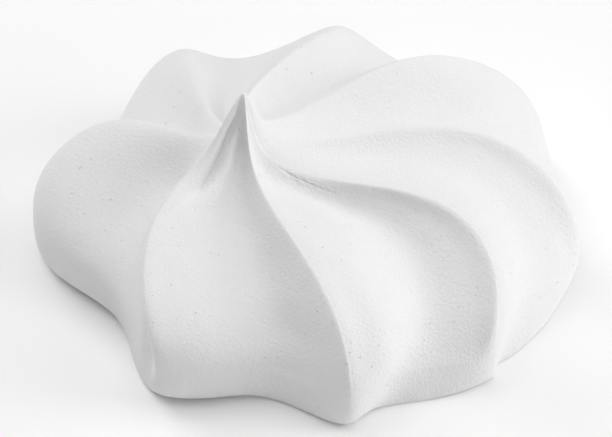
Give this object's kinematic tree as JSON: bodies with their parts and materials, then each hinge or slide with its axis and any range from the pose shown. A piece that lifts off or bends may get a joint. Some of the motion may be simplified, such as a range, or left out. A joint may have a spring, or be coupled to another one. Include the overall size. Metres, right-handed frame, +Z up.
{
  "type": "meringue cookie",
  "caption": "Piped meringue cookie with eight curved ridges and scooped valleys that meet in an off-centre peak, flat underneath.",
  "frame": {"origin": "middle of the outline, on the flat underside that the cookie rests on", "axes": "+Z up out of the peak, +X to the viewer's right along the longest side, -Y towards the viewer"},
  "size_m": [0.06, 0.0568, 0.0222],
  "materials": {
    "meringue": "dry baked meringue: chalky white, quite matte, with very fine pits"
  },
  "bodies": {
    "root": {"meringue": "meringue"}
  },
  "joints": []
}
